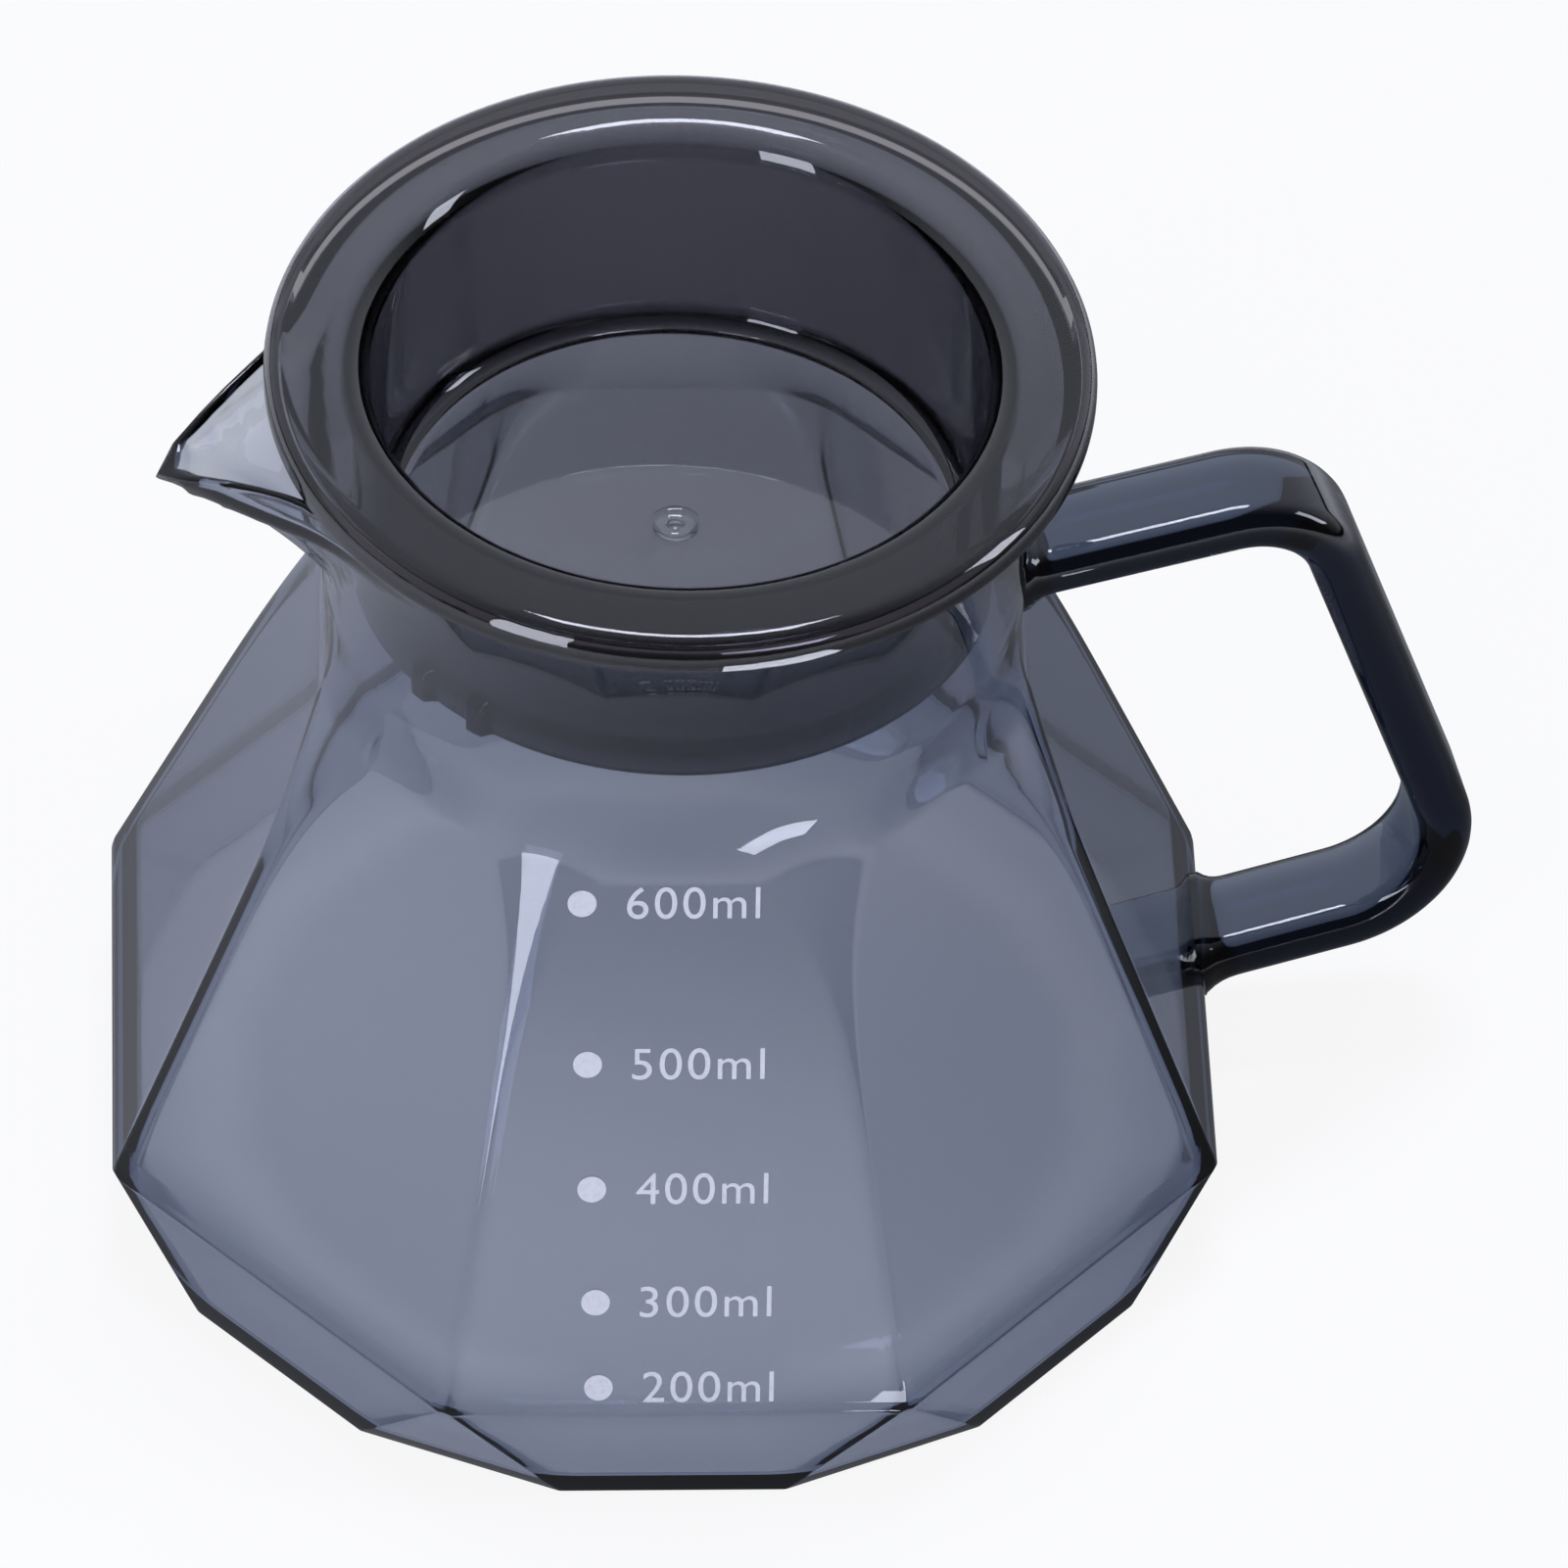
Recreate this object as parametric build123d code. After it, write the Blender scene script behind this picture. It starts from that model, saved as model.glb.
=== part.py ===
from build123d import *
import math
import os

# Coffee server carafe in millimetres, +Z up. The origin is the centre of the
# standing base. The grip lies toward +X and the spout toward -X.

# Vessel: the faceted body
facet_count = 8
facet_turn = -10.5
belt_radius = 66.0
belt_height = 14.1
base_radius = 61.6
base_bevel = 0.9
belt_bevel = 0.7
edge_rounding = 1.2
edge_opening_height = 46.0
shoulder_height = 76.0
shoulder_flat_radius = 37.4
shoulder_rounding = 8.5
throat_radius = 38.0
throat_rise = 8.0

# Vessel: the neck and its rim
neck_rise = 27.0
rim_radius = 43.0

# Vessel: the thickness of the glass
wall = 1.9
floor_thickness = 2.6
inner_edge_rounding = 3.0

# Vessel: the spout, pressed out of the rim
spout_reach = 14.0
spout_drop = 2.6
spout_root_half_width = 12.2
spout_tip_radius = 2.6
spout_lip_depth = 3.8
spout_height = 21.0
spout_reach_shares = (0.02, 0.17, 0.33, 0.58, 1.0)
spout_height_shares = (0.0, 0.3, 0.52, 0.76, 1.0)
spout_width_shares = (0.3, 0.5, 0.66, 0.84, 1.0)
spout_root_share = 0.93

# Handle: a solid bar with a foot on the neck and a foot on the belt
grip_width = 12.5
grip_thickness = 6.2
grip_edge_radius = 2.2
upper_foot_above_shoulder = 2.0
upper_arm_rise = 7.8
upper_arm_reach = 32.3
upper_bend_radius = 11.0
lower_foot_below_belt = 1.4
lower_arm_rise = 10.0
lower_arm_reach = 30.6
lower_bend_radius = 13.0
foot_flare_length = 4.2
foot_flare = 1.9
foot_sink = 6.0
foot_reach_shares = (0.0, 0.15, 0.45, 1.0)
foot_spread_shares = (1.0, 0.6, 0.18, 0.0)

# Lid: a cup that hangs in the neck from a thin flange
flange_overhang = 1.4
flange_height = 4.0
flange_thickness = 2.0
flange_edge_rounding = 1.7
flange_lip_width = 2.4
lid_wall = 2.2
lid_draft = 1.2
opening_rounding = 3.9
flange_root_rounding = 1.6
lid_inner_depth = 26.2
lid_floor = 2.7
lid_floor_rounding = 4.5
lid_corner_rounding = 1.0
skirt_clearance = 0.5
lug_proud = 1.3
lug_width = 3.0
lug_height = 5.2
lug_rounding = 0.5
lug_azimuths = (209.5, 222.0)

# Volume marks: enamel dots printed on the facet at the right of the spout
dot_diameter = 3.1
dot_thickness = 0.15
dot_offset = 8.4
dot_column_lean = 2.4
dot_heights = (16.8, 26.5, 39.3, 53.3, 71.2)
dot_facet_azimuth = -90.0

# Shared
overrun = 5.0
straight_tolerance = 0.01
bevel_share = 0.6

# Worked out from the above
facet_angle = 360 / facet_count
half_facet = math.radians(facet_angle / 2)
belt_flat_radius = belt_radius * math.cos(half_facet)
facet_lean = math.atan2(belt_flat_radius - shoulder_flat_radius, shoulder_height - belt_height)
throat_height = shoulder_height + throat_rise
rim_height = throat_height + neck_rise
lid_top = rim_height + flange_height
mouth_radius = min(throat_radius, rim_radius) - wall
skirt_radius = mouth_radius - skirt_clearance - lug_proud


def polar(radius, degrees, z):
    """The point at a radius, an azimuth and a height."""
    angle = math.radians(degrees)
    return Vector(radius * math.cos(angle), radius * math.sin(angle), z)


def facet_points(flat_radius, rounding, z):
    """The ends and middle of each flat, and the middle of each rounded corner."""
    corner_radius = (flat_radius - rounding) / math.cos(half_facet) + rounding
    half_flat = (flat_radius - rounding) * math.tan(half_facet)
    end_radius = math.hypot(flat_radius, half_flat)
    end_angle = math.degrees(math.atan2(half_flat, flat_radius))
    points = []
    for side in range(facet_count):
        middle = facet_turn + side * facet_angle
        points.append(polar(end_radius, middle - end_angle, z))
        points.append(polar(flat_radius, middle, z))
        points.append(polar(end_radius, middle + end_angle, z))
        points.append(polar(corner_radius, middle + facet_angle / 2, z))
    return points


def base_points(inset, z):
    """The standing outline, a polygon with two sides for each facet."""
    radius = base_radius - inset / math.cos(half_facet / 2)
    flat_radius = radius * math.cos(half_facet / 2)
    points = []
    for side in range(facet_count):
        middle = facet_turn + side * facet_angle
        points.append(polar(radius, middle - facet_angle / 4, z))
        points.append(polar(flat_radius, middle, z))
        points.append(polar(radius, middle + facet_angle / 4, z))
        points.append(polar(flat_radius, middle + facet_angle / 2, z))
    return points


def circle_points(radius, z, like):
    """Points of a circle at the azimuths of another outline's points."""
    return [polar(radius, math.degrees(math.atan2(point.Y, point.X)), z) for point in like]


def blended_points(lower, upper, share):
    """Points part of the way from one outline to the next."""
    return [low + (high - low) * share for low, high in zip(lower, upper)]


def side_edge(start, middle, end):
    """A straight edge, or an arc where the middle stands off the straight line."""
    bow = (start + (end - start) * 0.5 - middle).length
    return ThreePointArc(start, middle, end) if bow > straight_tolerance else Line(start, end)


def outline(points):
    """A closed face whose edges are flats and corners by turns."""
    edges = []
    for index in range(0, len(points), 2):
        edges.append(side_edge(points[index], points[index + 1], points[(index + 2) % len(points)]))
    return make_face(edges)


def flat_radius_at(z, inset):
    """Distance from the axis to the middle of a leaning facet."""
    share = (z - belt_height) / (shoulder_height - belt_height)
    return belt_flat_radius + (shoulder_flat_radius - belt_flat_radius) * share - inset


def rounding_at(z, edge):
    """Radius of the edges between facets, which open out toward the shoulder."""
    share = max(0, (z - edge_opening_height) / (shoulder_height - edge_opening_height))
    return edge + (shoulder_rounding - edge) * share


def faceted_body(inset, edge, bottom):
    """The body from its base to the round throat, drawn in by an inset on every side."""
    across = inset / math.cos(facet_lean)
    smooth_from = shoulder_height - throat_rise / 2
    base = base_points(inset, bottom)
    belt = facet_points(flat_radius_at(belt_height, across), edge, belt_height)
    foot_height = belt_height - bottom
    straight = [base_points(inset + base_bevel * bevel_share, bottom)]
    straight.append(blended_points(base, belt, base_bevel / foot_height))
    straight.append(blended_points(base, belt, 1 - belt_bevel / foot_height))
    for z in (belt_height + belt_bevel, edge_opening_height, smooth_from):
        straight.append(facet_points(flat_radius_at(z, across), rounding_at(z, edge), z))
    shoulder = facet_points(flat_radius_at(shoulder_height, across), shoulder_rounding, shoulder_height)
    throat = circle_points(throat_radius - inset, throat_height, shoulder)
    rising = blended_points(shoulder, throat, 0.5)
    lower = loft([outline(points) for points in straight], ruled=True)
    upper = loft([outline(points) for points in (straight[-1], shoulder, rising, throat)])
    return lower + upper


def neck(inset):
    """The round neck, which stands up from the throat and flares out past the rim."""
    top = rim_height + overrun
    foot = Vector(throat_radius - inset, 0, throat_height)
    lip = Vector(rim_radius - inset, 0, rim_height)
    flare = TangentArc(foot, lip, tangent=(0, 0, 1))
    rest = Polyline(lip, Vector(lip.X, 0, top), Vector(0, 0, top), Vector(0, 0, throat_height), foot)
    return revolve(make_face([flare, rest]), Axis.Z)


def neck_radius_at(z):
    """Outside radius of the flaring neck at a height."""
    spread = rim_radius - throat_radius
    bend = (neck_rise ** 2 + spread ** 2) / (2 * spread)
    return throat_radius + bend - math.copysign(math.sqrt(bend ** 2 - (z - throat_height) ** 2), bend)


def spout_slice(reach, half_width, tip_radius, root, z):
    """A level slice of the spout: two straight sides that meet in a round tip."""
    centre = tip_radius - reach
    side_angle = math.atan2(half_width - tip_radius, -centre - root)
    side_x = centre - tip_radius * math.sin(side_angle)
    side_y = tip_radius * math.cos(side_angle)
    tip = ThreePointArc((side_x, side_y, z), (-reach, 0, z), (side_x, -side_y, z))
    sides = Polyline((side_x, -side_y, z), (-root, -half_width, z), (-root, half_width, z), (side_x, side_y, z))
    return make_face([tip, sides])


def spout(inset):
    """The spout as a solid, from its keel on the neck up past the rim."""
    keel_rise = spout_height - spout_drop - spout_lip_depth
    slices = []
    for reach_share, height_share, width_share in zip(
            spout_reach_shares, spout_height_shares, spout_width_shares):
        z = rim_height - spout_height + height_share * keel_rise
        neck_radius = neck_radius_at(z)
        reach = neck_radius + reach_share * (rim_radius + spout_reach - neck_radius) - inset
        half_width = spout_root_half_width * width_share - inset
        tip_radius = (spout_tip_radius - inset / 2) * width_share
        slices.append(spout_slice(reach, half_width, tip_radius, neck_radius * spout_root_share, z + inset))
    top = rim_height + overrun
    upright = extrude(slices[-1], amount=top - slices[-1].center().Z, dir=(0, 0, 1))
    return loft(slices) + upright


def above_rim():
    """Everything above the rim, which dips toward the spout's tip."""
    far = rim_radius + spout_reach + overrun
    top = rim_height + 3 * overrun
    dip = spout_drop * (far - rim_radius) / spout_reach
    side = Polyline((-rim_radius, 0, rim_height), (-far, 0, rim_height - dip), (-far, 0, top), (far, 0, top),
                    (far, 0, rim_height), (-rim_radius, 0, rim_height))
    return extrude(make_face(side), amount=far, dir=(0, 1, 0), both=True)


def outer_form():
    """The vessel's outside as one solid."""
    return faceted_body(0, edge_rounding, 0) + neck(0) + spout(0)


def vessel(outside):
    """The blown body with its neck and spout, hollow and open at the rim."""
    inside = faceted_body(wall, inner_edge_rounding, floor_thickness) + neck(wall) + spout(wall)
    return outside - inside - above_rim()


def handle(outside):
    """The solid bar of the grip, with a flared foot at each end, shaped to the vessel."""
    lower_z = belt_height - lower_foot_below_belt
    belt_face = belt_flat_radius / math.cos(math.radians(facet_turn))
    upper_rise = math.radians(upper_arm_rise)
    lower_rise = math.radians(lower_arm_rise)
    upper_foot = Vector(throat_radius, 0, shoulder_height + upper_foot_above_shoulder)
    lower_foot = Vector(belt_face, 0, lower_z)
    upper_arm = Vector(math.cos(upper_rise), 0, math.sin(upper_rise))
    lower_arm = Vector(math.cos(lower_rise), 0, math.sin(lower_rise))
    upper_corner = upper_foot + upper_arm * (upper_arm_reach / math.cos(upper_rise))
    lower_corner = lower_foot + lower_arm * (lower_arm_reach / math.cos(lower_rise))
    start = upper_foot - upper_arm * foot_sink
    end = lower_foot - lower_arm * foot_sink
    path = bent_path([start, upper_corner, lower_corner, end], [upper_bend_radius, lower_bend_radius])
    bar = sweep(grip_section(start, upper_arm, 0), path=path)
    upper_flare = foot(upper_foot, upper_arm)
    lower_flare = foot(lower_foot, lower_arm)
    return bar + upper_flare + lower_flare - outside


def grip_section(origin, along, spread):
    """The bar's section across its length, spread evenly on every side."""
    plane = Plane(origin=origin, x_dir=(0, 1, 0), z_dir=along)
    shape = RectangleRounded(grip_width + 2 * spread, grip_thickness + 2 * spread, grip_edge_radius + spread)
    return plane * shape


def bent_path(points, radii):
    """Straight runs joined by tangent arcs, in the plane of the handle."""
    edges = []
    last = points[0]
    for before, corner, after, radius in zip(points, points[1:], points[2:], radii):
        back = (before - corner).normalized()
        ahead = (after - corner).normalized()
        half_angle = math.radians(back.get_angle(ahead)) / 2
        run = radius / math.tan(half_angle)
        middle = corner + (back + ahead).normalized() * (radius / math.sin(half_angle) - radius)
        edges.append(Line(last, corner + back * run))
        edges.append(ThreePointArc(corner + back * run, middle, corner + ahead * run))
        last = corner + ahead * run
    edges.append(Line(last, points[-1]))
    return Wire(edges)


def foot(origin, along):
    """The flare where the bar was pressed hot against the vessel."""
    sections = []
    for reach_share, spread_share in zip(foot_reach_shares, foot_spread_shares):
        place = origin + along * (foot_flare_length * reach_share)
        sections.append(grip_section(place, along, foot_flare * spread_share))
    root = extrude(sections[0], amount=foot_sink, dir=-along)
    return root + loft(sections)


def lid():
    """The moulded cup, its flange that rests on the rim, and the two lugs on its skirt."""
    floor_top = rim_height + flange_height - lid_inner_depth
    bottom = floor_top - lid_floor
    under = lid_top - flange_thickness
    flange_radius = rim_radius + flange_overhang
    skirt_top = skirt_radius + lid_draft
    bore_top = skirt_top - lid_wall
    bore_bottom = skirt_radius - lid_wall
    lip_radius = flange_radius - flange_lip_width
    corners = [(0, bottom), (skirt_radius, bottom), (skirt_top, under), (lip_radius, under), (lip_radius, rim_height),
               (flange_radius, rim_height), (flange_radius, lid_top), (bore_top, lid_top), (bore_bottom, floor_top),
               (0, floor_top)]
    profile = make_face(Polyline(*corners, close=True))
    root_rounding = min(flange_root_rounding, (lip_radius - skirt_top) / 2)
    for corner, radius in ((1, lid_corner_rounding), (2, root_rounding), (6, flange_edge_rounding),
                           (7, opening_rounding), (8, lid_floor_rounding)):
        point = Vertex(*corners[corner], 0)
        profile = fillet(profile.vertices().sort_by_distance(point)[0], radius)
    cup = revolve(Plane.XZ * profile, Axis.Z)
    for azimuth in lug_azimuths:
        cup += lug(azimuth, bottom)
    return cup


def lug(azimuth, bottom):
    """One of the short upright ribs at the bottom of the skirt."""
    proud = skirt_radius + lug_proud
    depth = lug_proud + lid_wall / 2
    block = Box(depth, lug_width, lug_height)
    block = fillet(block.edges().filter_by(Axis.Z).group_by(Axis.X)[-1], lug_width / 2 - lug_rounding / 2)
    block = fillet(block.edges().group_by(Axis.Z)[0].sort_by(Axis.X)[-1], lug_rounding)
    place = Vector(proud - depth / 2, 0, bottom + lug_height / 2)
    return Rot(0, 0, azimuth) * Pos(place) * block


def volume_marks():
    """Five enamel dots in a column on the front facet."""
    azimuth = facet_turn + dot_facet_azimuth
    normal = polar(math.cos(facet_lean), azimuth, math.sin(facet_lean))
    across = polar(math.cos(0), azimuth + 90, 0)
    dots = []
    for height in dot_heights:
        offset = dot_offset + (height - dot_heights[0]) * math.tan(math.radians(dot_column_lean))
        place = polar(flat_radius_at(height, 0), azimuth, height) - across * offset
        dots.append(Plane(origin=place, x_dir=across, z_dir=normal) * disc())
    return Compound(children=dots)


def disc():
    """One printed dot, from the glass outward."""
    return extrude(Circle(dot_diameter / 2), amount=dot_thickness)


def export(node, shape):
    """Write one node."""
    export_step(shape, f"parts/{node}.step")


os.makedirs("parts", exist_ok=True)
outside = outer_form()
export("vessel", vessel(outside))
export("handle", handle(outside))
export("lid", lid())
export("volume_marks", volume_marks())
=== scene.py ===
import logging
import math
from dataclasses import dataclass
from enum import Enum

import bpy
import bmesh
from mathutils import Matrix, Vector
from mathutils.bvhtree import BVHTree


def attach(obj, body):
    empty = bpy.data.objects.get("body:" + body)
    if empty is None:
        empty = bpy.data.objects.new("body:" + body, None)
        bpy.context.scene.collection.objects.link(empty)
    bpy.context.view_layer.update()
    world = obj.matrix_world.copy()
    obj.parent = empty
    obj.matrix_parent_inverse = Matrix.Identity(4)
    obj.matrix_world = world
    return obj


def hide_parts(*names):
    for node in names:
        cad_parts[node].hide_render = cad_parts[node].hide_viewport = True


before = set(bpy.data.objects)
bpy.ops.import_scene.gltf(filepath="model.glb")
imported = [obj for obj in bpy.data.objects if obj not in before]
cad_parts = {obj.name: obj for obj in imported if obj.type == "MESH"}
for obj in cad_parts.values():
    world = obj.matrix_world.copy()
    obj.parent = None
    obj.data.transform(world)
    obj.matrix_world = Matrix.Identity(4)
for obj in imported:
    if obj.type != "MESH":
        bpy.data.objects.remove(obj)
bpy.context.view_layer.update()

MM = 0.001
LOG = logging.getLogger("carafe")

Point = tuple[float, float, float]
Row = list[Point]
Tree = bpy.types.NodeTree
Node = bpy.types.Node
Socket = bpy.types.NodeSocket
Piece = bpy.types.Object
Source = float | Socket | Node


class Body(Enum):
    """The two bodies that move apart."""

    JUG = "jug"
    LID = "lid"


class Stretch(Enum):
    """The stretches of the outline of one facet, in the order they are walked."""

    FLAT = 0
    NEAR_ARC = 1
    CORNER = 2
    FAR_ARC = 3


# Shared helpers

def linear(hex_colour: str) -> tuple[float, float, float, float]:
    """Turns an sRGB hex colour into linear values.

    Args:
        hex_colour: Six hex digits.

    Returns:
        Linear red, green and blue, and an alpha of 1.
    """
    values = [int(hex_colour[i:i + 2], 16) / 255 for i in (0, 2, 4)]
    bent = [v / 12.92 if v <= 0.04045 else ((v + 0.055) / 1.055) ** 2.4 for v in values]
    return bent[0], bent[1], bent[2], 1.0


def add_node(tree: Tree, kind: str, inputs: dict | None = None) -> Node:
    """Adds a node with its properties, values and links.

    Args:
        tree: The tree that gets the node.
        kind: The node's type name.
        inputs: Property names, socket names or socket numbers, each with a value, a socket to link
            or a node whose first output is linked.

    Returns:
        The new node.
    """
    node = tree.nodes.new(kind)
    for name, value in (inputs or {}).items():
        if isinstance(value, Node):
            value = value.outputs[0]
        if isinstance(value, Socket):
            tree.links.new(value, node.inputs[name])
        elif isinstance(name, str) and hasattr(node, name):
            setattr(node, name, value)
        else:
            node.inputs[name].default_value = value
    return node


def reckon(tree: Tree, operation: str, first: Source, second: Source) -> Socket:
    """The outcome of a Math node."""
    return add_node(tree, "ShaderNodeMath", {"operation": operation, 0: first, 1: second}).outputs["Value"]


def between(tree: Tree, share: Source, start: Source, end: Source) -> Socket:
    """The number that lies at a share of the way from start to end."""
    return add_node(tree, "ShaderNodeMix", {
        "data_type": "FLOAT", "Factor": share, "A": start, "B": end}).outputs["Result"]


def ramp(tree: Tree, value: Socket, ends: tuple[float, float], levels: tuple[float, float]) -> Socket:
    """A level that changes smoothly while a value goes from one end to the other.

    Args:
        tree: The tree that gets the node.
        value: The value that is followed.
        ends: The values where the change starts and stops.
        levels: The levels at those ends.

    Returns:
        The level.
    """
    return add_node(tree, "ShaderNodeMapRange", {
        "interpolation_type": "SMOOTHSTEP", "Value": value, "From Min": ends[0], "From Max": ends[1],
        "To Min": levels[0], "To Max": levels[1]}).outputs["Result"]


def noise(tree: Tree, size: float, detail: float) -> Socket:
    """Noise that is fixed to the object.

    Args:
        tree: The tree that gets the nodes.
        size: The rough size of a patch in millimetres.
        detail: How many finer layers it has.

    Returns:
        The noise's level.
    """
    place = add_node(tree, "ShaderNodeTexCoord").outputs["Object"]
    return add_node(tree, "ShaderNodeTexNoise", {
        "Scale": 1 / (size * MM), "Detail": detail, "Vector": place}).outputs["Fac"]


def relief(tree: Tree, strength: float, depth: float, height: Socket) -> Socket:
    """The direction of a surface with a slight relief, whose depth is in millimetres."""
    return add_node(tree, "ShaderNodeBump", {
        "Strength": strength, "Distance": depth * MM, "Height": height}).outputs["Normal"]


def empty_tree(owner: bpy.types.Material | bpy.types.World) -> Tree:
    """Gives a material or a world a node tree with nothing in it.

    Args:
        owner: The material or the world.

    Returns:
        Its empty tree.
    """
    owner.use_nodes = True
    owner.node_tree.nodes.clear()
    return owner.node_tree


def smooth_step(low: float, high: float, value: float) -> float:
    """Rises smoothly from 0 at low to 1 at high."""
    share = min(1.0, max(0.0, (value - low) / (high - low)))
    return share * share * (3 - 2 * share)


def smooth_max(first: float, second: float, blend: float) -> float:
    """The larger of two values, rounded over where they are within a blend of each other."""
    near = max(0.0, blend - abs(first - second)) / blend
    return max(first, second) + near * near * blend / 4


def smooth_min(first: float, second: float, blend: float) -> float:
    """The smaller of two values, rounded over where they are within a blend of each other."""
    return -smooth_max(-first, -second, blend)


def spread(start: float, end: float, count: int) -> list[float]:
    """Even steps from start up to, but not including, end."""
    return [start + (end - start) * i / count for i in range(count)]


def curve_through(points: tuple[tuple[float, float], ...], place: float) -> float:
    """Reads a smooth curve that runs through a few points.

    Args:
        points: Pairs of place and value, in rising order of place.
        place: Where the curve is read.

    Returns:
        The value there, level with the end points beyond them.
    """
    if place <= points[0][0]:
        return points[0][1]
    slopes = [(b[1] - a[1]) / (b[0] - a[0]) for a, b in zip(points, points[1:])]
    tangents = [slopes[0]] + [(a + b) / 2 for a, b in zip(slopes, slopes[1:])] + [0.0]
    for index, (low, high) in enumerate(zip(points, points[1:])):
        if place <= high[0]:
            run = high[0] - low[0]
            share = (place - low[0]) / run
            return hermite(share, low[1], tangents[index] * run, high[1], tangents[index + 1] * run)
    return points[-1][1]


def polar(radius: float, azimuth: float, z: float) -> Point:
    """The point at a distance from the axis, an azimuth in radians and a height."""
    return radius * math.cos(azimuth), radius * math.sin(azimuth), z


def hermite(share: float, start: float, start_slope: float, end: float, end_slope: float) -> float:
    """A cubic from start to end with given slopes at its ends.

    Args:
        share: How far along it is read, from 0 to 1.
        start: The value at 0.
        start_slope: The slope at 0.
        end: The value at 1.
        end_slope: The slope at 1.

    Returns:
        The value there.
    """
    square, cube = share ** 2, share ** 3
    return (start * (2 * cube - 3 * square + 1) + start_slope * (cube - 2 * square + share)
            + end * (3 * square - 2 * cube) + end_slope * (cube - square))


def rounded_profile(corners: list[Point], arc_steps: int = 6) -> list[tuple[float, float]]:
    """Rounds the corners of an open outline.

    Args:
        corners: Distance from the axis, height and rounding of each corner, in order.
        arc_steps: The number of stretches that a rounding is divided into.

    Returns:
        The outline's points, with arcs in place of the rounded corners.
    """
    points = []
    for index, (r, z, rounding) in enumerate(corners):
        if rounding == 0:
            points.append((r, z))
            continue
        here = Vector((r, z))
        back = (Vector(corners[index - 1][:2]) - here).normalized()
        ahead = (Vector(corners[index + 1][:2]) - here).normalized()
        half_angle = back.angle(ahead) / 2
        centre = here + (back + ahead).normalized() * (rounding / math.sin(half_angle))
        first = here + back * (rounding / math.tan(half_angle)) - centre
        turn = first.angle_signed(here + ahead * (rounding / math.tan(half_angle)) - centre)
        for step in range(arc_steps + 1):
            spoke = Matrix.Rotation(-turn * step / arc_steps, 2) @ first
            points.append(tuple(centre + spoke))
    return points


def shade_smooth(mesh: bpy.types.Mesh) -> None:
    """Marks every face of a mesh as smooth."""
    mesh.polygons.foreach_set("use_smooth", [True] * len(mesh.polygons))


def shown_mesh(piece: Piece) -> bpy.types.Mesh:
    """A new mesh of an object as it shows, with its modifiers worked in."""
    graph = bpy.context.evaluated_depsgraph_get()
    return bpy.data.meshes.new_from_object(piece.evaluated_get(graph), depsgraph=graph)


def new_piece(name: str, mesh: bpy.types.Mesh) -> Piece:
    """Puts a mesh in the scene as a smooth-shaded object at the origin.

    Args:
        name: The object's name.
        mesh: Its mesh.

    Returns:
        The new object.
    """
    shade_smooth(mesh)
    piece = bpy.data.objects.new(name, mesh)
    bpy.context.scene.collection.objects.link(piece)
    return piece


def skin(name: str, rows: list[Row], first_pole: Point, last_pole: Point) -> Piece:
    """Makes a closed skin from rows of points that go round the upright axis.

    Args:
        name: The object's name.
        rows: Rows of equal length in millimetres, from the underside outward and up.
        first_pole: The point that closes the first row.
        last_pole: The point that closes the last row.

    Returns:
        The new object, smooth shaded, with its place in its mesh.
    """
    columns = len(rows[0])
    vertices = [first_pole] + [point for row in rows for point in row] + [last_pole]
    last_row = 1 + (len(rows) - 1) * columns
    faces = []
    for j in range(columns):
        following = (j + 1) % columns
        faces.append((0, 1 + following, 1 + j))
        faces.append((last_row + j, last_row + following, len(vertices) - 1))
        for low in range(1, last_row, columns):
            high = low + columns
            faces.append((low + j, low + following, high + following, high + j))
    mesh = bpy.data.meshes.new(name)
    mesh.from_pydata([Vector(vertex) * MM for vertex in vertices], [], faces)
    mesh.validate()
    return new_piece(name, mesh)


def geometry_tree(name: str, sizes: dict[str, str]) -> tuple[Tree, bpy.types.NodeOutputs]:
    """Starts a geometry tree with named inputs, the last of which is the piece's finish.

    Args:
        name: The tree's name.
        sizes: Input names with their socket types.

    Returns:
        The tree and what its input node gives out.
    """
    tree = bpy.data.node_groups.new(name, "GeometryNodeTree")
    tree.interface.new_socket("Geometry", in_out="INPUT", socket_type="NodeSocketGeometry")
    for label, kind in (sizes | {"Finish": "NodeSocketMaterial"}).items():
        tree.interface.new_socket(label, in_out="INPUT", socket_type=kind)
    tree.interface.new_socket("Geometry", in_out="OUTPUT", socket_type="NodeSocketGeometry")
    return tree, tree.nodes.new("NodeGroupInput").outputs


def end_tree(tree: Tree, given: bpy.types.NodeOutputs, shape: Node) -> None:
    """Makes a geometry tree's shape real, gives it its finish and hands it out.

    Args:
        tree: The geometry tree.
        given: What its input node gives out.
        shape: The node whose first output is the shape.
    """
    real = add_node(tree, "GeometryNodeRealizeInstances", {"Geometry": shape})
    finished = add_node(tree, "GeometryNodeSetMaterial", {"Geometry": real, "Material": given["Finish"]})
    add_node(tree, "NodeGroupOutput", {"Geometry": finished})


def grow(name: str, seed: bpy.types.Mesh, tree: Tree, values: dict) -> Piece:
    """Runs a geometry tree on a seed mesh and keeps the result as a plain mesh.

    Args:
        name: The object's name.
        seed: The mesh that the tree starts from.
        tree: The geometry tree.
        values: Input names with their values.

    Returns:
        The new object, with no modifier left on it.
    """
    piece = new_piece(name, seed)
    modifier = piece.modifiers.new("form", "NODES")
    modifier.node_group = tree
    for item in tree.interface.items_tree:
        if item.in_out == "INPUT" and item.name in values:
            modifier[item.identifier] = values[item.name]
    mesh = shown_mesh(piece)
    piece.modifiers.remove(modifier)
    piece.data = mesh
    mesh.name = name
    shade_smooth(mesh)
    return piece


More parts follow.
